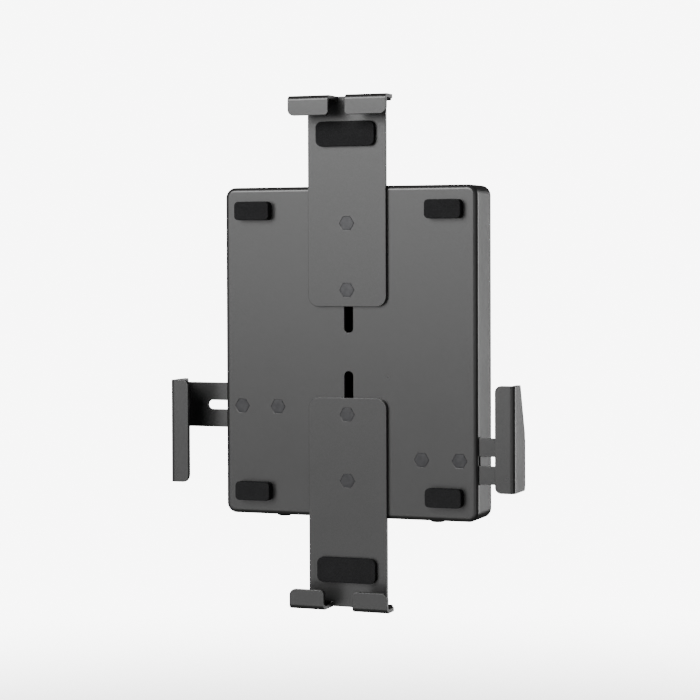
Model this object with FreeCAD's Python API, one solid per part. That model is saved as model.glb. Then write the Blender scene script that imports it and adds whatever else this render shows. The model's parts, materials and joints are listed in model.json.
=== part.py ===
import FreeCAD
import Part

import math
import os

# Tablet wall mount of folded steel sheet.
# Four hooked brackets close round the edges of a flat device. The upper and lower ones stand on
# arms in front of a shallow tray, the left and right ones on arms that run through slits in its
# side walls. The tray hangs on a plate that is screwed to the wall.
# X runs to the right seen from the front, Y runs back into the wall, Z runs up. The origin is the
# middle of the hole pattern on the back of the wall plate. Millimetres.

# The space for the device, between the faces of the pads
bay_width = 169.5
bay_height = 240.0
bay_depth = 7.5

# Sheet, bends and pads
sheet = 2.0
bend_inner_radius = 0.4
lip_pad_thickness = 1.5
edge_pad_thickness = 1.0
back_pad_thickness = 2.5
pad_inset = 0.4

# Hooks, the same on all four brackets
lip_height = 9.6
lip_outer_corner = 3.0
lip_notch_corner = 1.8

# Upper and lower brackets
hook_span = 50.0
top_notch = 8.5
bottom_notch = 14.6
shelf_end_depth = 11.5
shelf_rear_corner = 2.2
arm_width = 40.0
arm_end_corner = 5.0
stud_from_middle = 11.5
stud_from_tray_edge = 16.0
arm_end_margin = 8.0
arm_pad_width = 30.0
arm_pad_height = 12.0
arm_pad_corner = 3.0
arm_pad_from_edge = 9.0
height_travel_in = 18.5
height_travel_out = 3.8

# Left and right brackets
clamp_height = 50.0
clamp_centre_drop = 39.0
side_wall_short_depth = 10.3
side_wall_knee = 27.0
side_wall_corner = 1.0
side_arm_width = 22.0
side_arm_separation = 2.0
side_arm_corner = 4.0
side_stud_from_middle = 19.6
side_stud_from_tray_wall = 7.0
side_arm_end_margin = 12.0
width_travel_in = 17.4
width_travel_out = 4.5

# Tray and wall plate
tray_width = 130.0
tray_height = 160.0
tray_depth = 22.0
tray_corner = 5.0
tray_wall_gap = 0.5
wall_plate_side_gap = 4.0
wall_plate_corner = 4.0
wall_plate_flange = 12.0
lift_clearance = 2.5
wall_pattern_large = 100.0
wall_pattern_small = 75.0
wall_hole_radius = 2.6
hook_tab_width = 14.0
hook_tab_from_side = 24.0
bumper_width = 18.0
bumper_height = 9.0
bumper_corner = 2.0
bumper_from_edge = 7.0

# Fasteners, metric size four
thread_radius = 2.0
stud_head_flats = 6.4
stud_head_height = 1.0
stud_tail = 0.6
clamp_plate_margin = 5.5
clamp_plate_corner = 2.0
clamp_plate_thickness = 1.5
nut_flats = 7.0
nut_height = 3.2
lock_screw_head_radius = 3.8
lock_screw_head_height = 2.2
lock_screw_socket_flats = 2.5
lock_screw_socket_depth = 1.3
lock_screw_from_side = 19.0

# Clearances
slide_clearance = 0.2
guide_clearance = 0.3
slot_clearance = 0.25
seat_clearance = 0.02
hole_clearance = 0.25

# How far a cutting solid runs on past the face that it cuts, and how near two points are one
overcut = 1.0
same_place = 1e-6

# Depths, counted back from the front face of the lips
bend_outer_radius = bend_inner_radius + sheet
pad_depth = sheet + lip_pad_thickness
arm_front_depth = pad_depth + bay_depth + back_pad_thickness
arm_back_depth = arm_front_depth + sheet
tray_front_depth = arm_back_depth + slide_clearance
tray_inner_depth = tray_front_depth + sheet
side_arm_front_depth = tray_inner_depth + slide_clearance
side_arm_back_depth = side_arm_front_depth + sheet
wall_depth = tray_front_depth + tray_depth + tray_wall_gap

# Edges of the brackets
shelf_inner_height = bay_height / 2 + edge_pad_thickness
shelf_outer_height = shelf_inner_height + sheet
side_inner_x = bay_width / 2 + edge_pad_thickness
side_outer_x = side_inner_x + sheet
side_arm_offset = (side_arm_width + side_arm_separation) / 2
clamp_centre = -clamp_centre_drop

# Studs: the inner ones leave room for the travel towards the middle of the tray
first_stud_height = height_travel_in + stud_from_middle
last_stud_height = tray_height / 2 - sheet - stud_from_tray_edge
side_stud_inner = width_travel_in + side_stud_from_middle
side_stud_outer = tray_width / 2 - sheet - side_stud_from_tray_wall
side_arm_inner_x = side_stud_inner - side_arm_end_margin
slot_radius = thread_radius + slot_clearance

# Wall plate and what lines up with it
wall_plate_width = tray_width - 2 * (sheet + wall_plate_side_gap)
wall_plate_top = tray_height / 2 - sheet
wall_plate_bottom = -tray_height / 2 + sheet + lift_clearance
hook_tab_offset = wall_plate_width / 2 - hook_tab_from_side
lock_screw_offset = wall_plate_width / 2 - lock_screw_from_side


def y_at(depth):
    """Y of a place that lies this far behind the front face of the lips."""
    return depth - wall_depth


def vector_in(axis, a, b, along):
    """The point with a and b in the plane across the axis and along on the axis."""
    if axis == "x":
        return FreeCAD.Vector(along, a, b)
    if axis == "y":
        return FreeCAD.Vector(a, along, b)
    return FreeCAD.Vector(a, b, along)


def prism(axis, corners, start, end):
    """Solid over an outline of corners (a, b) or (a, b, radius), from start to end on the axis."""
    count = len(corners)
    points = [FreeCAD.Vector(c[0], c[1], 0) for c in corners]
    radii = [c[2] if len(c) == 3 else 0.0 for c in corners]
    entries = []
    for i in range(count):
        here = points[i]
        back = (points[i - 1] - here).normalize()
        ahead = (points[(i + 1) % count] - here).normalize()
        if radii[i] <= 0:
            entries.append((here, None, here))
            continue
        half = back.getAngle(ahead) / 2
        reach = radii[i] / math.tan(half)
        middle = (back + ahead).normalize() * (radii[i] / math.sin(half))
        centre = here + middle
        crown = centre - (back + ahead).normalize() * radii[i]
        entries.append((here + back * reach, crown, here + ahead * reach))

    def place(point):
        return vector_in(axis, point.x, point.y, start)

    edges = []
    for i in range(count):
        first, crown, last = entries[i]
        following = entries[(i + 1) % count][0]
        if crown is not None:
            edges.append(Part.Arc(place(first), place(crown), place(last)).toShape())
        if last.distanceToPoint(following) > same_place:
            edges.append(Part.LineSegment(place(last), place(following)).toShape())
    face = Part.Face(Part.Wire(edges))
    return face.extrude(vector_in(axis, 0, 0, end - start))


def block(x, y, z):
    """Box between two values on each axis."""
    size = (x[1] - x[0], y[1] - y[0], z[1] - z[0])
    return Part.makeBox(size[0], size[1], size[2], FreeCAD.Vector(x[0], y[0], z[0]))


def rod(radius, axis, a, b, start, end):
    """Round solid along an axis, with its centre at (a, b) across that axis."""
    direction = vector_in(axis, 0, 0, math.copysign(1, end - start))
    return Part.makeCylinder(radius, abs(end - start), vector_in(axis, a, b, start), direction)


def rounded_slot(axis, run, centre, radius, start, end):
    """Solid that cuts a round-ended slot: run is its span between end centres, in the first or
    second direction across the axis, and centre is its place in the other one."""
    if run[0] == "a":
        corners = [(run[1] - radius, centre - radius, radius), (run[2] + radius, centre - radius, radius),
                   (run[2] + radius, centre + radius, radius), (run[1] - radius, centre + radius, radius)]
    else:
        corners = [(centre - radius, run[1] - radius, radius), (centre + radius, run[1] - radius, radius),
                   (centre + radius, run[2] + radius, radius), (centre - radius, run[2] + radius, radius)]
    return prism(axis, corners, start, end)


def hexagon(flats, axis, a, b, start, end):
    """Six-sided solid across its flats, along an axis."""
    reach = flats / math.sqrt(3)
    corners = []
    for step in range(6):
        angle = math.radians(60 * step)
        corners.append((a + reach * math.cos(angle), b + reach * math.sin(angle)))
    return prism(axis, corners, start, end)


def mirrored(shape, normal):
    return shape.mirror(FreeCAD.Vector(0, 0, 0), normal)


def upside_down(shape):
    return mirrored(shape, FreeCAD.Vector(0, 0, 1))


def turned_left(shape):
    """The right-hand piece turned half round, about the level of the side clamps, to the left."""
    return shape.rotated(FreeCAD.Vector(0, 0, clamp_centre), FreeCAD.Vector(0, 1, 0), 180)


def stud(a, b, head_depth, tail_depth):
    """Press-in stud whose six-sided head is flush with the front face of its sheet."""
    head = hexagon(stud_head_flats, "y", a, b, y_at(head_depth), y_at(head_depth + stud_head_height))
    shank = rod(thread_radius, "y", a, b, y_at(head_depth), y_at(tail_depth))
    return head.fuse(shank).removeSplitter()


def stud_hole(a, b, face_depth):
    """What a press-in stud takes out of the sheet that holds it."""
    pocket = hexagon(stud_head_flats + 2 * seat_clearance, "y", a, b,
                     y_at(face_depth - overcut), y_at(face_depth + stud_head_height))
    hole = rod(thread_radius + seat_clearance, "y", a, b,
               y_at(face_depth), y_at(face_depth + sheet + overcut))
    return pocket.fuse(hole)


def clamp_plate(places, front_depth):
    """Plate that spreads the pull of a pair of nuts along the slot that they bridge."""
    low_a = min(a for a, b in places) - clamp_plate_margin
    high_a = max(a for a, b in places) + clamp_plate_margin
    low_b = min(b for a, b in places) - clamp_plate_margin
    high_b = max(b for a, b in places) + clamp_plate_margin
    back_depth = front_depth + clamp_plate_thickness
    cut = clamp_plate_corner
    plate = prism("y", [
        (low_a + cut, low_b), (high_a - cut, low_b), (high_a, low_b + cut), (high_a, high_b - cut),
        (high_a - cut, high_b), (low_a + cut, high_b), (low_a, high_b - cut), (low_a, low_b + cut),
    ], y_at(front_depth), y_at(back_depth))
    for a, b in places:
        plate = plate.cut(rod(thread_radius + hole_clearance, "y", a, b,
                              y_at(front_depth - overcut), y_at(back_depth + overcut)))
    return plate


def nut(axis, a, b, start, end):
    """Six-sided nut on a thread that runs along the axis."""
    reach = math.copysign(1, end - start)
    bore = rod(thread_radius + seat_clearance, axis, a, b, start - reach, end + reach)
    return hexagon(nut_flats, axis, a, b, start, end).cut(bore)


def clamp_set(places, stud_face_depth, clamped_back_depth):
    """Studs pressed into one sheet, with the plate and nuts that clamp the sheet behind it."""
    plate_depth = clamped_back_depth + slide_clearance
    nut_depth = plate_depth + clamp_plate_thickness
    nut_end = nut_depth + nut_height
    studs = [stud(a, b, stud_face_depth, nut_end + stud_tail) for a, b in places]
    nuts = [nut("y", a, b, y_at(nut_depth), y_at(nut_end)) for a, b in places]
    return studs, [clamp_plate(places, plate_depth)], nuts


def upper_stud_places():
    return [(0, first_stud_height), (0, last_stud_height)]


def right_stud_places():
    level = clamp_centre - side_arm_offset
    return [(side_stud_inner, level), (side_stud_outer, level)]


def left_stud_places():
    level = clamp_centre + side_arm_offset
    return [(-side_stud_inner, level), (-side_stud_outer, level)]


def upper_bracket(notch):
    """Lip, shelf and arm folded from one strip, with a notch that parts the hook in two."""
    half_span = hook_span / 2
    half_notch = notch / 2
    arm_end = first_stud_height - arm_end_margin
    lip_end = shelf_outer_height - lip_height
    folded = prism("x", [
        (y_at(0), lip_end), (y_at(0), shelf_outer_height, bend_outer_radius),
        (y_at(arm_back_depth), shelf_outer_height, bend_outer_radius), (y_at(arm_back_depth), arm_end),
        (y_at(arm_front_depth), arm_end), (y_at(arm_front_depth), shelf_inner_height, bend_inner_radius),
        (y_at(sheet), shelf_inner_height, bend_inner_radius), (y_at(sheet), lip_end),
    ], -half_span, half_span)

    hook_front = prism("y", [
        (half_notch, lip_end, lip_notch_corner), (half_span, lip_end, lip_outer_corner),
        (half_span, shelf_outer_height + overcut), (half_notch, shelf_outer_height + overcut),
    ], y_at(-overcut), y_at(shelf_end_depth))
    hook_plan = prism("z", [
        (half_notch, y_at(-overcut)), (half_span, y_at(-overcut)),
        (half_span, y_at(shelf_end_depth), shelf_rear_corner), (half_notch, y_at(shelf_end_depth)),
    ], lip_end - overcut, shelf_outer_height + overcut)
    hook_right = hook_front.common(hook_plan)
    hook_left = mirrored(hook_right, FreeCAD.Vector(1, 0, 0))

    half_arm = arm_width / 2
    arm_outline = prism("y", [
        (-half_arm, arm_end, arm_end_corner), (half_arm, arm_end, arm_end_corner),
        (half_arm, shelf_outer_height + overcut), (-half_arm, shelf_outer_height + overcut),
    ], y_at(shelf_end_depth), y_at(arm_back_depth + overcut))
    bracket = folded.common(hook_right.fuse([hook_left, arm_outline]))
    bracket = bracket.cut(block((-half_notch, half_notch), (y_at(-overcut), y_at(arm_front_depth)),
                                (lip_end - overcut, shelf_outer_height + overcut)))
    tab = block((-half_notch, half_notch), (y_at(arm_front_depth), y_at(arm_back_depth)),
                (shelf_inner_height - sheet, shelf_outer_height))
    bracket = bracket.fuse(tab)
    for a, b in upper_stud_places():
        bracket = bracket.cut(stud_hole(a, b, arm_front_depth))
    return bracket.removeSplitter()


def upper_lip_pads(notch):
    """One pad behind each half of the lip, from its free edge up to the pad under the shelf."""
    inner = notch / 2 + pad_inset
    outer = hook_span / 2 - pad_inset
    low = shelf_outer_height - lip_height + pad_inset
    high = shelf_inner_height - edge_pad_thickness
    pad = prism("y", [(inner, low, lip_notch_corner), (outer, low, lip_outer_corner),
                      (outer, high), (inner, high)], y_at(sheet), y_at(pad_depth))
    return [pad, mirrored(pad, FreeCAD.Vector(1, 0, 0))]


def upper_shelf_pads(notch):
    inner = notch / 2 + pad_inset
    outer = hook_span / 2 - pad_inset
    front = y_at(sheet + bend_inner_radius)
    back = y_at(shelf_end_depth - pad_inset)
    pad = prism("z", [(inner, front), (outer, front), (outer, back, shelf_rear_corner), (inner, back)],
                shelf_inner_height - edge_pad_thickness, shelf_inner_height)
    return [pad, mirrored(pad, FreeCAD.Vector(1, 0, 0))]


def upper_arm_pad():
    high = bay_height / 2 - arm_pad_from_edge
    low = high - arm_pad_height
    half = arm_pad_width / 2
    return prism("y", [(-half, low, arm_pad_corner), (half, low, arm_pad_corner),
                       (half, high, arm_pad_corner), (-half, high, arm_pad_corner)],
                 y_at(arm_front_depth - back_pad_thickness), y_at(arm_front_depth))


def right_bracket():
    """Lip, side wall and arm folded from one strip. The wall deepens to where its arm turns in."""
    low = clamp_centre - clamp_height / 2
    high = clamp_centre + clamp_height / 2
    arm_low = clamp_centre - side_arm_offset - side_arm_width / 2
    arm_high = arm_low + side_arm_width
    lip_end = side_outer_x - lip_height
    wall_back = side_arm_back_depth - bend_outer_radius

    lip_and_wall = prism("z", [
        (lip_end, y_at(0)), (side_outer_x, y_at(0), bend_outer_radius), (side_outer_x, y_at(wall_back)),
        (side_inner_x, y_at(wall_back)), (side_inner_x, y_at(sheet), bend_inner_radius),
        (lip_end, y_at(sheet)),
    ], low, high)
    front_outline = prism("y", [
        (lip_end, low, lip_outer_corner), (side_outer_x + overcut, low),
        (side_outer_x + overcut, high), (lip_end, high, lip_outer_corner),
    ], y_at(-overcut), y_at(wall_back))
    side_outline = prism("x", [
        (y_at(-overcut), low), (y_at(wall_back), low, side_wall_corner),
        (y_at(wall_back), low + side_wall_knee),
        (y_at(side_wall_short_depth), high, side_wall_corner), (y_at(-overcut), high),
    ], lip_end - overcut, side_outer_x + overcut)
    hook = lip_and_wall.common(front_outline).common(side_outline)

    wall_and_arm = prism("z", [
        (side_outer_x, y_at(side_wall_short_depth)),
        (side_outer_x, y_at(side_arm_back_depth), bend_outer_radius),
        (side_arm_inner_x, y_at(side_arm_back_depth)), (side_arm_inner_x, y_at(side_arm_front_depth)),
        (side_inner_x, y_at(side_arm_front_depth), bend_inner_radius),
        (side_inner_x, y_at(side_wall_short_depth)),
    ], arm_low, arm_high)
    arm_outline = prism("y", [
        (side_arm_inner_x, arm_low, side_arm_corner), (side_outer_x + overcut, arm_low),
        (side_outer_x + overcut, arm_high), (side_arm_inner_x, arm_high, side_arm_corner),
    ], y_at(side_wall_short_depth), y_at(side_arm_back_depth))
    slot = rounded_slot("y", ("a", side_stud_inner - width_travel_out, side_stud_outer + width_travel_in),
                        clamp_centre - side_arm_offset, slot_radius,
                        y_at(side_arm_front_depth - overcut), y_at(side_arm_back_depth + overcut))
    arm = wall_and_arm.common(arm_outline).cut(slot)
    return hook.fuse(arm).removeSplitter()


def right_lip_pad():
    low = clamp_centre - clamp_height / 2 + pad_inset
    high = clamp_centre + clamp_height / 2 - pad_inset
    inner = side_outer_x - lip_height + pad_inset
    outer = side_inner_x - edge_pad_thickness
    return prism("y", [(inner, low, lip_outer_corner), (outer, low),
                       (outer, high), (inner, high, lip_outer_corner)],
                 y_at(sheet), y_at(pad_depth))


def right_wall_pad():
    low = clamp_centre - clamp_height / 2 + pad_inset
    high = clamp_centre + clamp_height / 2 - pad_inset
    front = y_at(sheet + bend_inner_radius)
    back = y_at(side_wall_short_depth - pad_inset)
    return prism("x", [(front, low), (back, low, side_wall_corner),
                       (back, high, side_wall_corner), (front, high)],
                 side_inner_x - edge_pad_thickness, side_inner_x)


def tray():
    """Shallow welded tray: a front plate with four walls that reach back to the wall."""
    half_width = tray_width / 2
    half_height = tray_height / 2
    inner_corner = tray_corner - sheet

    def tub(inset, corner, front_depth, back_depth):
        half_x = half_width - inset
        half_z = half_height - inset
        return prism("y", [(-half_x, -half_z, corner), (half_x, -half_z, corner),
                           (half_x, half_z, corner), (-half_x, half_z, corner)],
                     y_at(front_depth), y_at(back_depth))

    back_depth = wall_depth - tray_wall_gap
    shell = tub(0, tray_corner, tray_front_depth, back_depth)
    front_edges = [e for e in shell.Edges
                   if all(abs(v.Point.y - y_at(tray_front_depth)) < same_place for v in e.Vertexes)]
    shell = shell.makeFillet(bend_outer_radius, front_edges)
    shell = shell.cut(tub(sheet, inner_corner, tray_inner_depth, back_depth + overcut))

    for sign in (-1, 1):
        ends = sorted((sign * (first_stud_height - height_travel_in),
                       sign * (last_stud_height + height_travel_out)))
        shell = shell.cut(rounded_slot("y", ("b", ends[0], ends[1]), 0, slot_radius,
                                       y_at(tray_front_depth - overcut), y_at(tray_inner_depth + overcut)))
        level = clamp_centre - sign * side_arm_offset
        low = level - side_arm_width / 2 - guide_clearance
        high = level + side_arm_width / 2 + guide_clearance
        reach = sorted((sign * (half_width - sheet - bend_inner_radius), sign * (half_width + overcut)))
        shell = shell.cut(block(reach, (y_at(tray_inner_depth), y_at(side_arm_back_depth + guide_clearance)),
                                (low, high)))
        tab_depth = wall_depth - wall_plate_flange
        shell = shell.cut(block(
            (sign * hook_tab_offset - hook_tab_width / 2 - guide_clearance,
             sign * hook_tab_offset + hook_tab_width / 2 + guide_clearance),
            (y_at(tab_depth - guide_clearance), y_at(tab_depth + sheet + guide_clearance)),
            (half_height - sheet - overcut, half_height + overcut)))
        shell = shell.cut(rod(thread_radius + hole_clearance, "z", sign * lock_screw_offset, lock_screw_y(),
                              -half_height - overcut, -half_height + sheet + overcut))
    for a, b in right_stud_places() + left_stud_places():
        shell = shell.cut(stud_hole(a, b, tray_front_depth))
    return shell.removeSplitter()


def lock_screw_y():
    """The screws stand in the middle of the flat part of the wall plate's lower flange."""
    return y_at(wall_depth - (wall_plate_flange + bend_outer_radius) / 2)


def bumpers():
    """Soft pads near the corners of the tray, level with the pads on the arms."""
    high_x = tray_width / 2 - bumper_from_edge
    low_x = high_x - bumper_width
    high_z = tray_height / 2 - bumper_from_edge
    low_z = high_z - bumper_height
    pad = prism("y", [
        (low_x, low_z, bumper_corner), (high_x, low_z, bumper_corner),
        (high_x, high_z, bumper_corner), (low_x, high_z, bumper_corner),
    ], y_at(arm_front_depth - back_pad_thickness), y_at(tray_front_depth))
    right_pair = [pad, upside_down(pad)]
    return right_pair + [mirrored(piece, FreeCAD.Vector(1, 0, 0)) for piece in right_pair]


def wall_plate():
    """Plate with two flanges folded forwards, two tabs that the tray hangs on and two hole squares."""
    half_width = wall_plate_width / 2
    top = wall_plate_top
    bottom = wall_plate_bottom
    front = y_at(wall_depth - wall_plate_flange)
    plate_front = y_at(wall_depth - sheet)
    back = y_at(wall_depth)
    folded = prism("x", [
        (back, bottom, bend_outer_radius), (back, top, bend_outer_radius),
        (front, top), (front, top - sheet),
        (plate_front, top - sheet, bend_inner_radius), (plate_front, bottom + sheet, bend_inner_radius),
        (front, bottom + sheet), (front, bottom),
    ], -half_width, half_width)
    outline = prism("z", [
        (-half_width, front, wall_plate_corner), (half_width, front, wall_plate_corner),
        (half_width, back + overcut), (-half_width, back + overcut),
    ], bottom - overcut, top + overcut)
    plate = folded.common(outline)
    for sign in (-1, 1):
        tab = prism("y", [
            (sign * hook_tab_offset - hook_tab_width / 2, top - sheet),
            (sign * hook_tab_offset + hook_tab_width / 2, top - sheet),
            (sign * hook_tab_offset + hook_tab_width / 2, top + sheet, bend_inner_radius),
            (sign * hook_tab_offset - hook_tab_width / 2, top + sheet, bend_inner_radius),
        ], front, front + sheet)
        plate = plate.fuse(tab)
        plate = plate.cut(rod(thread_radius + hole_clearance, "z", sign * lock_screw_offset,
                              lock_screw_y(), bottom - overcut, bottom + sheet + overcut))
    for spacing in (wall_pattern_large, wall_pattern_small):
        for sign_x in (-1, 1):
            for sign_z in (-1, 1):
                plate = plate.cut(rod(wall_hole_radius, "y", sign_x * spacing / 2, sign_z * spacing / 2,
                                      plate_front - overcut, back + overcut))
    return plate.removeSplitter()


def weld_nuts():
    """Nuts welded to the inner side of the wall plate's lower flange."""
    seat = wall_plate_bottom + sheet
    return [nut("z", sign * lock_screw_offset, lock_screw_y(), seat, seat + nut_height) for sign in (-1, 1)]


def lock_screws():
    """Screws that hold the tray down on the wall plate, with round heads and six-sided sockets."""
    seat = -tray_height / 2
    tip = wall_plate_bottom + sheet + nut_height + stud_tail
    bottom = seat - lock_screw_head_height
    screws = []
    for sign in (-1, 1):
        x = sign * lock_screw_offset
        head = rod(lock_screw_head_radius, "z", x, lock_screw_y(), bottom, seat)
        head = head.fuse(rod(thread_radius, "z", x, lock_screw_y(), bottom + lock_screw_socket_depth, tip))
        socket = hexagon(lock_screw_socket_flats, "z", x, lock_screw_y(), bottom - overcut,
                         bottom + lock_screw_socket_depth)
        screws.append(head.cut(socket))
    return screws


def save(name, shapes):
    """Write one named piece, or a group of like pieces, to its own file."""
    solids = [s for shape in shapes for s in shape.Solids]
    result = solids[0] if len(solids) == 1 else Part.makeCompound(solids)
    result.exportStep("parts/" + name + ".step")
    print(name, len(solids), "solid(s)", round(sum(s.Volume for s in solids)), "mm3")


def build_upright(name, notch, place):
    """A bracket on the vertical line with its pads and clamping parts; place turns it to its end."""
    studs, clamp_plates, nuts = clamp_set(upper_stud_places(), arm_front_depth, tray_inner_depth)
    groups = {
        "bracket": [upper_bracket(notch)],
        "lip_pads": upper_lip_pads(notch),
        "shelf_pads": upper_shelf_pads(notch),
        "arm_pad": [upper_arm_pad()],
        "studs": studs,
        "clamp_plate": clamp_plates,
        "nuts": nuts,
    }
    for group, shapes in groups.items():
        save(name + "_" + group, [place(shape) for shape in shapes])


def build_side(name, place):
    """A side bracket with its two pads; place turns it to its side."""
    save(name + "_bracket", [place(right_bracket())])
    save(name + "_lip_pad", [place(right_lip_pad())])
    save(name + "_wall_pad", [place(right_wall_pad())])


def build_base():
    """What stays on the wall: the plate, the tray and what is fixed to them."""
    right_set = clamp_set(right_stud_places(), tray_front_depth, side_arm_back_depth)
    left_set = clamp_set(left_stud_places(), tray_front_depth, side_arm_back_depth)
    save("wall_plate", [wall_plate()])
    save("wall_plate_nuts", weld_nuts())
    save("tray", [tray()])
    save("tray_bumpers", bumpers())
    save("tray_lock_screws", lock_screws())
    save("side_clamp_studs", right_set[0] + left_set[0])
    save("side_clamp_plates", right_set[1] + left_set[1])
    save("side_clamp_nuts", right_set[2] + left_set[2])


os.makedirs("parts", exist_ok=True)
build_base()
build_upright("top", top_notch, lambda shape: shape)
build_upright("bottom", bottom_notch, upside_down)
build_side("right", lambda shape: shape)
build_side("left", turned_left)
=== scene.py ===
# %% [markdown]
# A wall mount of folded steel sheet: four hooked brackets lined with black foam, a shallow tray
# that carries them, and the plate that the tray hangs on. The measured model comes in first as a
# fixed frame, and everything below dresses it. All lengths are metres, with X to the right, Y back
# into the wall and Z up. A length called hair is the largest difference that still counts as none,
# and a short helper makes an object of its data and links it to the scene.

import json
import math

import bmesh
import bpy
from mathutils import Matrix, Vector


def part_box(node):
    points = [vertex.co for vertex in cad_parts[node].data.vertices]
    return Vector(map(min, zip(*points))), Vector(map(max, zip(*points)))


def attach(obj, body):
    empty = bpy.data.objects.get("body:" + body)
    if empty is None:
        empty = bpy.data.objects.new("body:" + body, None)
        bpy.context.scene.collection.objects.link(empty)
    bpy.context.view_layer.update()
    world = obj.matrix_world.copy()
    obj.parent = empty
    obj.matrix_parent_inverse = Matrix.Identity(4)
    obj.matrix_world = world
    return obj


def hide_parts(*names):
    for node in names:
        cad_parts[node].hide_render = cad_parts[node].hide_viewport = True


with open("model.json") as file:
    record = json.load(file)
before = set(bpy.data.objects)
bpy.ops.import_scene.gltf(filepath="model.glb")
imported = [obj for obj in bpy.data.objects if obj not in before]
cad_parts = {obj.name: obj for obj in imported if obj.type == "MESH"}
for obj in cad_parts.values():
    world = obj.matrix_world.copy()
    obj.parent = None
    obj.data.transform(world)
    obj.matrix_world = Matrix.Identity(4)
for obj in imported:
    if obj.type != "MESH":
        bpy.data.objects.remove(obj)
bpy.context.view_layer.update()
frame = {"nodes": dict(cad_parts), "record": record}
mm = 0.001
hair = 0.01 * mm
bodies = frame["record"]["behaviour"]["bodies"]
body_of = {node: body for body, nodes in bodies.items() for node in nodes}


def add_object(name, data):
    made = bpy.data.objects.new(name, data)
    bpy.context.scene.collection.objects.link(made)
    return made


# %% [markdown]
# The camera comes first, because every later choice is judged through it. The photograph was taken
# with a long lens from the right of the mount, a little above its middle, and framed low. A small
# vertical shift of the lens gives that framing and keeps the upright edges upright, where tilting
# the camera down would make them lean.

# %% Camera at the photograph's angle
photo_width = 700
photo_focal = 2139
photo_centre_height = 300.4
film_width = 36
camera_place = (0.3677, -0.9850, 0.0463)
camera_turn = (88.811, 0.204, 20.862)

lens = bpy.data.cameras.new("photo_lens")
lens.sensor_width = film_width
lens.lens = photo_focal / photo_width * lens.sensor_width
lens.shift_y = (photo_centre_height - photo_width / 2) / photo_width
camera = add_object("photo_camera", lens)
camera.location = camera_place
camera.rotation_euler = [math.radians(angle) for angle in camera_turn]
bpy.context.scene.camera = camera
print("lens", round(lens.lens, 1), "mm, shift", round(lens.shift_y, 3))

# %% [markdown]
# A finish is a small tree of shader nodes. These helpers start a tree that reads object
# coordinates, add one node with its plain values and its links, mix two shaders, and map a pattern
# to two colours, so that each finish below reads as a list of what it is made of.


# %% Helpers for finishes
def add_node(tree, kind, values=None, **links):
    node = tree.nodes.new(kind)
    for name, value in (values or {}).items():
        if hasattr(node, name):
            setattr(node, name, value)
        else:
            node.inputs[name].default_value = value
    for name, source in links.items():
        tree.links.new(source, node.inputs[name.replace("_", " ")])
    return node


def mix_shaders(tree, share, first, second):
    mix = add_node(tree, "ShaderNodeMixShader", Fac=share)
    tree.links.new(first, mix.inputs[1])
    tree.links.new(second, mix.inputs[2])
    return mix.outputs["Shader"]


def new_finish(name):
    finish = bpy.data.materials.new(name)
    finish.use_nodes = True
    tree = finish.node_tree
    tree.nodes.clear()
    output = tree.nodes.new("ShaderNodeOutputMaterial")
    place = tree.nodes.new("ShaderNodeTexCoord").outputs["Object"]
    return finish, tree, output, place


def two_tone(tree, source, low, dark, high, light):
    ramp = add_node(tree, "ShaderNodeValToRGB", Fac=source)
    for stop, position, colour in zip(ramp.color_ramp.elements, (low, high), (dark, light)):
        stop.position = position
        stop.color = (*colour, 1)
    return ramp.outputs["Color"]


print("helpers ready")

# %% [markdown]
# Powder coat is a baked plastic skin. Up close it has the shallow ripple of an orange peel, about
# a millimetre from crest to crest, and a finer grain on top of it. Its colour hardly changes, so
# the bump and a slightly uneven gloss carry the look. The base is dark and the film smooth enough
# for the sheen to do most of the work: flat faces catch the large light, and bends turn away from
# it and go dark. Where the sheet was cut, the film draws back a little as it melts, so an edge is
# smoother. The colour there is also painted a shade lighter, a painted highlight that draws a thin
# light line along each cut edge. A face attribute named edge_round marks those edges.

# %% Charcoal powder coat
edge_roughness_step = -0.08


def powder_coat(name, dark, light, edge, gloss):
    finish, tree, output, place = new_finish(name)
    ripple = add_node(tree, "ShaderNodeTexNoise", {"Scale": 900.0, "Detail": 2.0}, Vector=place)
    grain = add_node(tree, "ShaderNodeTexNoise", {"Scale": 5200.0, "Detail": 1.0}, Vector=place)
    cloud = add_node(tree, "ShaderNodeTexNoise", {"Scale": 45.0, "Detail": 3.0}, Vector=place)
    rim = add_node(tree, "ShaderNodeAttribute", {"attribute_name": "edge_round"}).outputs["Fac"]
    tone = two_tone(tree, grain.outputs["Fac"], 0.35, dark, 0.68, light)
    # Painted highlight: faces marked edge_round take the lighter edge colour instead of the coat's
    # tone.
    colour = add_node(tree, "ShaderNodeMixRGB", {"Color2": (*edge, 1)}, Fac=rim, Color1=tone)
    uneven = add_node(tree, "ShaderNodeMapRange", {"To Min": gloss - 0.03, "To Max": gloss + 0.05},
                      Value=cloud.outputs["Fac"])
    smoother = add_node(tree, "ShaderNodeMath", {"operation": "MULTIPLY_ADD"})
    tree.links.new(rim, smoother.inputs[0])
    smoother.inputs[1].default_value = edge_roughness_step
    tree.links.new(uneven.outputs["Result"], smoother.inputs[2])
    peel = add_node(tree, "ShaderNodeBump", {"Strength": 0.6, "Distance": 0.02 * mm},
                    Height=ripple.outputs["Fac"])
    skin = add_node(tree, "ShaderNodeBump", {"Strength": 0.5, "Distance": 0.01 * mm},
                    Height=grain.outputs["Fac"], Normal=peel.outputs["Normal"])
    shader = add_node(tree, "ShaderNodeBsdfPrincipled", {"IOR": 1.62},
                      Base_Color=colour.outputs["Color"], Roughness=smoother.outputs["Value"],
                      Normal=skin.outputs["Normal"])
    tree.links.new(shader.outputs["BSDF"], output.inputs["Surface"])
    return finish


# The third colour is the painted highlight of the cut edges.
charcoal_coat = powder_coat("charcoal_coat", (0.019, 0.019, 0.019), (0.032, 0.032, 0.032),
                            (0.050, 0.050, 0.050), 0.28)
print("finish", charcoal_coat.name)
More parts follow.
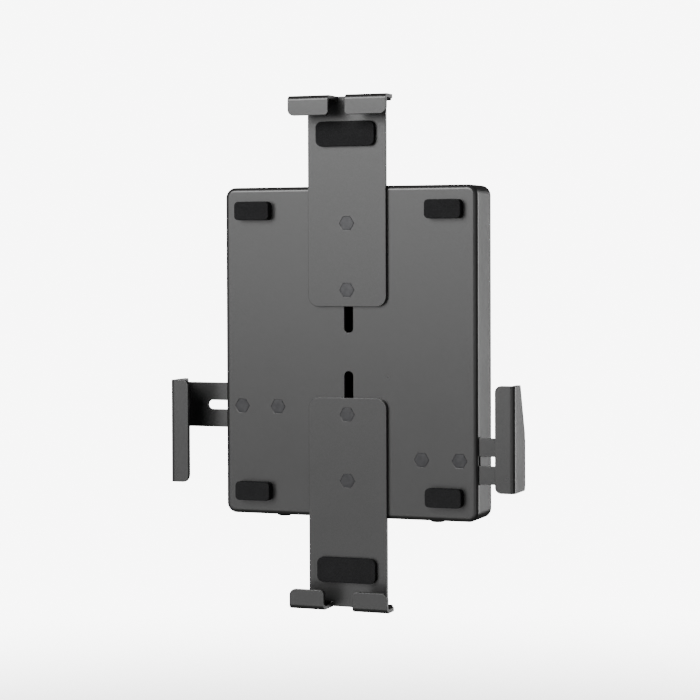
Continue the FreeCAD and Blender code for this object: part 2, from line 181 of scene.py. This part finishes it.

# %% [markdown]
# The pads are closed-cell foam, cut from sheet. Cut foam shows its cells as a fine field of pits,
# which a Voronoi pattern gives at the right scale. The same pattern paints each cell darker
# towards its centre, where the bump puts the bottom of its pit, as painted shade in the pits. It
# is almost black and hardly shines, and a broad, weak noise keeps a pad from looking printed.


# %% Black foam
def cell_foam(name, dark, light):
    finish, tree, output, place = new_finish(name)
    cells = add_node(tree, "ShaderNodeTexVoronoi", {"Scale": 2600.0}, Vector=place)
    blotch = add_node(tree, "ShaderNodeTexNoise", {"Scale": 240.0, "Detail": 3.0}, Vector=place)
    # Painted shade: the colour is darkest at each cell's centre, the deepest point of its pit.
    tone = two_tone(tree, cells.outputs["Distance"], 0.0, dark, 0.7, light)
    uneven = add_node(tree, "ShaderNodeMapRange", {"To Min": 0.78, "To Max": 0.95},
                      Value=blotch.outputs["Fac"])
    pits = add_node(tree, "ShaderNodeBump", {"Strength": 0.6, "Distance": 0.08 * mm},
                    Height=cells.outputs["Distance"])
    shader = add_node(tree, "ShaderNodeBsdfPrincipled", {"IOR": 1.4, "Specular IOR Level": 0.3},
                      Base_Color=tone, Roughness=uneven.outputs["Result"],
                      Normal=pits.outputs["Normal"])
    tree.links.new(shader.outputs["BSDF"], output.inputs["Surface"])
    return finish


black_foam = cell_foam("black_foam", (0.005, 0.005, 0.005), (0.016, 0.016, 0.017))
print("finish", black_foam.name)

# %% [markdown]
# The fasteners are plated steel: bright zinc on the nuts and clamp plates inside the tray, and
# black zinc on the screws and studs. Both are metals with faint tool marks, which a noise
# squeezed along one direction imitates. They differ in colour and in how much they blur a light.


# %% Plated steel
def plated_steel(name, dark, light, gloss):
    finish, tree, output, place = new_finish(name)
    squeeze = add_node(tree, "ShaderNodeMapping", {"Scale": (300.0, 300.0, 4000.0)}, Vector=place)
    marks = add_node(tree, "ShaderNodeTexNoise", {"Scale": 1.0, "Detail": 4.0},
                     Vector=squeeze.outputs["Vector"])
    bloom = add_node(tree, "ShaderNodeTexNoise", {"Scale": 420.0, "Detail": 3.0}, Vector=place)
    tone = two_tone(tree, bloom.outputs["Fac"], 0.3, dark, 0.7, light)
    uneven = add_node(tree, "ShaderNodeMapRange", {"To Min": gloss - 0.06, "To Max": gloss + 0.1},
                      Value=marks.outputs["Fac"])
    scratch = add_node(tree, "ShaderNodeBump", {"Strength": 0.2, "Distance": 0.01 * mm},
                       Height=marks.outputs["Fac"])
    shader = add_node(tree, "ShaderNodeBsdfPrincipled", {"Metallic": 1.0},
                      Base_Color=tone, Roughness=uneven.outputs["Result"],
                      Normal=scratch.outputs["Normal"])
    tree.links.new(shader.outputs["BSDF"], output.inputs["Surface"])
    return finish


bright_zinc = plated_steel("bright_zinc", (0.42, 0.43, 0.45), (0.60, 0.61, 0.63), 0.32)
black_zinc = plated_steel("black_zinc", (0.046, 0.046, 0.048), (0.060, 0.060, 0.062), 0.34)
print("finishes", bright_zinc.name, black_zinc.name)

# %% [markdown]
# Every finished piece goes through the same last step: its mesh becomes an object at the origin,
# gets its finish, rides on a body, and stands for one node of the measured model.


# %% Helper that places a finished mesh
def place_piece(work, node, finish):
    for face in work.faces:
        face.smooth = True
    mesh = bpy.data.meshes.new(node + "_finished")
    work.to_mesh(mesh)
    work.free()
    mesh.materials.append(finish)
    piece = add_object(node + "_finished", mesh)
    normals = piece.modifiers.new("flat faces stay flat", "WEIGHTED_NORMAL")
    normals.keep_sharp = True
    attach(piece, body_of[node])
    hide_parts(node)
    print(piece.name, len(mesh.polygons), "faces")
    return piece


# %% [markdown]
# The solids are exact, but their edges are razor sharp, and no edge of a coated sheet is: the cut
# edge is tumbled before coating, and the film adds its own small round. That round draws a thin
# line of light or dark along a cut edge. A copy of the solid is merged from its loose triangles,
# its flat areas are joined into whole faces, and a bevel rounds only the outer edges that turn by
# more than thirty degrees, so the many small steps of a bend stay as they are.
#
# The bevel isn't clamped, because the clamp makes every round as small as the tightest spot of the
# mesh allows. Where a face runs out in a tip thinner than needle_angle, a round has no room, and
# the edges there stay sharp. The weighted normals of the last step then keep the flats flat and
# the bends smooth.

# %% Helper that refines a copy of a solid
merge_distance = 0.001 * mm
flat_angle = math.radians(0.2)
corner_angle = math.radians(30)


def refined_copy(node, edge_round, needle_angle=0.0):
    work = bmesh.new()
    work.from_mesh(frame["nodes"][node].data)
    bmesh.ops.remove_doubles(work, verts=work.verts, dist=merge_distance)
    bmesh.ops.dissolve_limit(work, angle_limit=flat_angle, use_dissolve_boundaries=False,
                             verts=work.verts, edges=work.edges)
    corners = [edge for edge in work.edges
               if len(edge.link_faces) == 2 and edge.calc_face_angle_signed() > corner_angle
               and all(loop.calc_angle() >= needle_angle
                       for vert in edge.verts for loop in vert.link_loops)]
    # edge_round marks the rounded faces. The coat makes them smoother and paints them lighter as a
    # painted highlight.
    mark = work.faces.layers.float.new("edge_round")
    rounded = bmesh.ops.bevel(work, geom=corners, offset=edge_round, offset_type="OFFSET",
                              segments=3, profile=0.5, affect="EDGES", clamp_overlap=False,
                              material=-1)
    for face in rounded["faces"]:
        face[mark] = 1.0
    return work


# %% [markdown]
# The sheet parts are the four brackets, the tray and the wall plate, all in the same coat. Their
# folds come from the solids, so only the cut edges change here: a fifth of a millimetre of round,
# a tenth of the sheet's thickness. Beside the notches of the upper and lower bracket, faces run
# out in tips of about four degrees, so these two brackets keep the edges there sharp.

# %% Sheet parts
sheet_edge_round = 0.22 * mm
thin_tip = math.radians(5)
for part in ["top_bracket", "bottom_bracket", "left_bracket", "right_bracket",
             "tray", "wall_plate"]:
    needle_angle = thin_tip if part in ("top_bracket", "bottom_bracket") else 0.0
    place_piece(refined_copy(part, sheet_edge_round, needle_angle), part, charcoal_coat)

# %% [markdown]
# Foam pads line each hook and stand on the arms and the tray. They are cut from sheet by a die
# that presses before it cuts, so their edges are rounder than those of the steel. They are firm.

# %% Foam pads
foam_edge_round = 0.35 * mm
for part in [node for node in body_of if "pad" in node or node == "tray_bumpers"]:
    pad = place_piece(refined_copy(part, foam_edge_round), part, black_foam)

# %% [markdown]
# The nuts and the clamp plates are turned and stamped parts with small, even edge rounds. They sit
# inside the tray, so a refined copy of each solid carries enough detail.

# %% Nuts and clamp plates
plated_edge_round = 0.2 * mm
for part in ["wall_plate_nuts", "side_clamp_nuts", "top_nuts", "bottom_nuts",
             "side_clamp_plates", "top_clamp_plate", "bottom_clamp_plate"]:
    place_piece(refined_copy(part, plated_edge_round), part, bright_zinc)

# %% [markdown]
# A screw thread is a vee that climbs as it goes round. The spin operator makes it from the outline
# of one vee: each step turns the outline and lifts it a little, and after a whole turn it meets
# the vee above. Two cutting planes then give the thread flat ends, and a short cone makes the
# point that helps it into its nut.

# %% Threaded shank
thread_pitch = 0.7 * mm
thread_depth = 0.35 * mm
thread_steps = 18
point_height = 0.5 * mm


def threaded_shank(radius, length):
    work = bmesh.new()
    root = radius - thread_depth
    vee = [work.verts.new((reach, 0, level * thread_pitch))
           for reach, level in ((root, -1.0), (radius, -0.5), (root, 0.0))]
    lines = [work.edges.new(pair) for pair in zip(vee, vee[1:])]
    turns = math.ceil(length / thread_pitch) + 1
    bmesh.ops.spin(work, geom=vee + lines, cent=(0, 0, 0), axis=(0, 0, 1),
                   dvec=(0, 0, thread_pitch / thread_steps), angle=2 * math.pi * turns,
                   steps=thread_steps * turns, use_merge=False, use_duplicate=False)
    bmesh.ops.remove_doubles(work, verts=work.verts, dist=hair)
    for level, up in ((0, -1), (length - point_height, 1)):
        bmesh.ops.bisect_plane(work, geom=work.verts[:] + work.edges[:] + work.faces[:],
                               plane_co=(0, 0, level), plane_no=(0, 0, up), clear_outer=True)
        rim = [edge for edge in work.edges if edge.is_boundary
               and all(abs(vert.co.z - level) < hair for vert in edge.verts)]
        bmesh.ops.holes_fill(work, edges=rim, sides=0)
    bmesh.ops.create_cone(work, cap_ends=True, segments=thread_steps, radius1=root,
                          radius2=root - point_height / 2, depth=point_height,
                          matrix=Matrix.Translation((0, 0, length - point_height / 2)))
    bmesh.ops.recalc_face_normals(work, faces=work.faces)
    return work


def add_turned(target, source, turn):
    """Add the source mesh to the target in its place, and free the source."""
    bmesh.ops.transform(source, matrix=turn, verts=source.verts)
    carrier = bpy.data.meshes.new("carrier")
    source.to_mesh(carrier)
    source.free()
    target.from_mesh(carrier)
    bpy.data.meshes.remove(carrier)


# %% [markdown]
# A press-in stud has a low six-sided head that lies flush in the sheet's front face, and a thread
# that points back into the tray. The head starts as a cone of six segments with equal radii. Its
# place comes from the box of the node that it stands for. The head and the thread are made along
# Z, and one turn lays them along Y.

# %% Press-in studs
stud_flats = 6.4 * mm
stud_corner = stud_flats / math.sqrt(3)
stud_head_height = 1.0 * mm
stud_head_round = 0.15 * mm
stud_radius = 2.0 * mm
stud_spacing = 19.0 * mm
back_along_y = Matrix.Rotation(math.radians(-90), 4, "X")


def press_in_stud(target, x, z, front, length):
    head = bmesh.new()
    bmesh.ops.create_cone(head, cap_ends=True, segments=6, radius1=stud_corner,
                          radius2=stud_corner, depth=stud_head_height,
                          matrix=Matrix.Translation((0, 0, stud_head_height / 2))
                          @ Matrix.Rotation(math.radians(30), 4, "Z"))
    bmesh.ops.bevel(head, geom=head.edges[:], offset=stud_head_round, offset_type="OFFSET",
                    segments=2, profile=0.5, affect="EDGES", clamp_overlap=True, material=-1)
    spot = Matrix.Translation((x, front, z)) @ back_along_y
    add_turned(target, head, spot)
    thread = threaded_shank(stud_radius, length - stud_head_height / 2)
    add_turned(target, thread, spot @ Matrix.Translation((0, 0, stud_head_height / 2)))


for part in ["top_studs", "bottom_studs", "side_clamp_studs"]:
    low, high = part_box(part)
    work = bmesh.new()
    if part == "side_clamp_studs":
        outer = high[0] - stud_corner
        spots = [(x, low[2] + stud_flats / 2) for x in (outer, outer - stud_spacing)]
        spots += [(-x, high[2] - stud_flats / 2) for x in (outer, outer - stud_spacing)]
    else:
        spots = [(0, low[2] + stud_flats / 2), (0, high[2] - stud_flats / 2)]
    for x, z in spots:
        press_in_stud(work, x, z, low[1], high[1] - low[1])
    place_piece(work, part, black_zinc)

# %% [markdown]
# The two lock screws come up from below, through the tray into the wall plate. A button head is a
# round of rotation, so a half outline is spun once round the axis and merged. The six-sided socket
# is a ring with as many points as the head's open rim: the two are bridged, the ring is pushed in,
# and its floor is closed. The outline lists radius and height in millimetres, from the open rim to
# the seat.

# %% Lock screws
lock_head_radius = 3.8 * mm
socket_flats = 2.5 * mm
socket_depth = 1.3 * mm
socket_floor = 0.3 * mm
head_outline = [(1.9, 0.0), (2.7, 0.1), (3.35, 0.4), (3.7, 0.85), (3.8, 1.3), (3.8, 2.05),
                (3.65, 2.2), (1.8, 2.2)]
head_steps = 24


def lock_screw_head():
    work = bmesh.new()
    points = [work.verts.new((reach * mm, 0, level * mm)) for reach, level in head_outline]
    lines = [work.edges.new(pair) for pair in zip(points, points[1:])]
    bmesh.ops.spin(work, geom=points + lines, cent=(0, 0, 0), axis=(0, 0, 1), angle=2 * math.pi,
                   steps=head_steps, use_merge=True, use_duplicate=False)
    rim = [edge for edge in work.edges if edge.is_boundary
           and all(vert.co.z < hair for vert in edge.verts)]
    seat = [edge for edge in work.edges if edge.is_boundary and edge not in rim]
    bmesh.ops.holes_fill(work, edges=seat, sides=0)
    six = bmesh.ops.create_circle(work, cap_ends=False, segments=6,
                                  radius=socket_flats / math.sqrt(3))
    sides = list({edge for vert in six["verts"] for edge in vert.link_edges})
    bmesh.ops.subdivide_edges(work, edges=sides, cuts=head_steps // 6 - 1)
    ring = [edge for edge in work.edges if edge.is_wire]
    bmesh.ops.bridge_loops(work, edges=rim + ring)
    pushed = bmesh.ops.extrude_edge_only(work, edges=ring)["geom"]
    floor_verts = [item for item in pushed if isinstance(item, bmesh.types.BMVert)]
    bmesh.ops.translate(work, verts=floor_verts, vec=(0, 0, socket_depth))
    floor_edges = [item for item in pushed if isinstance(item, bmesh.types.BMEdge)
                   and all(vert in floor_verts for vert in item.verts)]
    bmesh.ops.holes_fill(work, edges=floor_edges, sides=0)
    bmesh.ops.recalc_face_normals(work, faces=work.faces)
    return work


low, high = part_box("tray_lock_screws")
thread_start = socket_depth + socket_floor
work = bmesh.new()
for side in (-1, 1):
    spot = Matrix.Translation((side * (high[0] - lock_head_radius),
                               (low[1] + high[1]) / 2, low[2]))
    add_turned(work, lock_screw_head(), spot)
    thread = threaded_shank(stud_radius, high[2] - low[2] - thread_start)
    add_turned(work, thread, spot @ Matrix.Translation((0, 0, thread_start)))
place_piece(work, "tray_lock_screws", black_zinc)

# %% [markdown]
# The studio is pale and plain. The floor is a wide disc that turns to plain white away from the
# mount, so that no horizon shows, and the surroundings are the same white to the camera alone. To
# the mount they are dim, which keeps the coat from washing out.

# %% Floor
white = 8.0
paper_grey = 0.86
floor_height = -0.36
floor_radius = 12.0
fade_start = 0.7
fade_end = 1.5
floor_mesh = bpy.data.meshes.new("studio_floor")
work = bmesh.new()
bmesh.ops.create_circle(work, cap_ends=True, segments=96, radius=floor_radius,
                        matrix=Matrix.Translation((0, 0, floor_height)))
work.to_mesh(floor_mesh)
work.free()
floor = add_object("studio_floor", floor_mesh)
floor.visible_glossy = False
floor.visible_diffuse = False

paper, tree, output, place = new_finish("studio_paper")
distance = add_node(tree, "ShaderNodeVectorMath", {"operation": "LENGTH"}, Vector=place)
fade = add_node(tree, "ShaderNodeMapRange",
                {"interpolation_type": "SMOOTHSTEP", "From Min": fade_start,
                 "From Max": fade_end, "To Min": 0.2},
                Value=distance.outputs["Value"])
matt = add_node(tree, "ShaderNodeBsdfDiffuse", {"Color": (paper_grey, paper_grey, paper_grey, 1)})
glow = add_node(tree, "ShaderNodeEmission", {"Color": (1, 1, 1, 1), "Strength": white})
surface = mix_shaders(tree, fade.outputs["Result"], matt.outputs["BSDF"], glow.outputs["Emission"])
tree.links.new(surface, output.inputs["Surface"])
floor_mesh.materials.append(paper)
print("floor at", floor_height)

# %% Surroundings
room_strength = 0.05
world = bpy.data.worlds.new("studio")
bpy.context.scene.world = world
world.use_nodes = True
tree = world.node_tree
tree.nodes.clear()
output = tree.nodes.new("ShaderNodeOutputWorld")
seen = add_node(tree, "ShaderNodeLightPath")
room = add_node(tree, "ShaderNodeBackground", {"Color": (1, 1, 1, 1), "Strength": room_strength})
backdrop = add_node(tree, "ShaderNodeBackground", {"Color": (1, 1, 1, 1), "Strength": white})
either = mix_shaders(tree, seen.outputs["Is Camera Ray"], room.outputs["Background"],
                     backdrop.outputs["Background"])
tree.links.new(either, output.inputs["Surface"])
print("surroundings set")

# %% [markdown]
# Soft boxes are area lights. A satin coat works as a blurred mirror, so each box stands where the
# camera sees it in the faces that it should light: the flat lips mirror a place in front, to the
# left of the mount, and the side walls and cut edges mirror one behind it, to the right. Three
# boxes stand one above the other on the left. The high one is the brightest, and lights the start
# of each upper bend as a thin line. The middle one lights the tray and the side lips, and the low
# one is weak, which makes the lower lips the darker ones. The fills further round keep a face from
# going black when the mount is seen from another side, and a box that lies on the floor does the
# same for views from above, as a pale floor would.


# %% Soft boxes
def soft_box(name, place, aim, width, height, power):
    light = bpy.data.lights.new(name, "AREA")
    light.shape = "RECTANGLE"
    light.size = width
    light.size_y = height
    light.energy = power
    lamp = add_object(name, light)
    lamp.location = place
    lamp.rotation_mode = "QUATERNION"
    lamp.rotation_quaternion = (Vector(aim) - Vector(place)).to_track_quat("-Z", "Y")
    lamp.visible_camera = False
    print(name, round(Vector(place).length, 2), "m away")


for name, place, aim, width, height, power in [
        ("high_box", (-0.54, -1.62, 0.84), (0, 0, 0.02), 1.2, 0.75, 32.0),
        ("middle_box", (-0.56, -1.70, 0.20), (0, 0, 0), 1.4, 0.5, 5.9),
        ("low_box", (-0.56, -1.66, -0.40), (0, 0, 0), 1.4, 0.8, 2.5),
        ("rear_box", (1.25, 1.35, 0.05), (0.08, 0, 0), 1.2, 1.2, 18.5),
        ("right_fill", (1.05, -1.45, -0.02), (0, 0, 0), 1.0, 0.9, 1.8),
        ("left_fill", (-1.60, -0.80, -0.02), (0, 0, 0), 1.0, 0.9, 1.0),
        ("rear_fill", (-0.85, 1.60, 0.00), (0, 0, 0), 1.0, 0.9, 5.0),
        ("floor_bounce", (0.10, -0.95, -0.355), (0.10, -0.95, 1.0), 2.0, 1.1, 4.5)]:
    soft_box(name, place, aim, width, height, power)
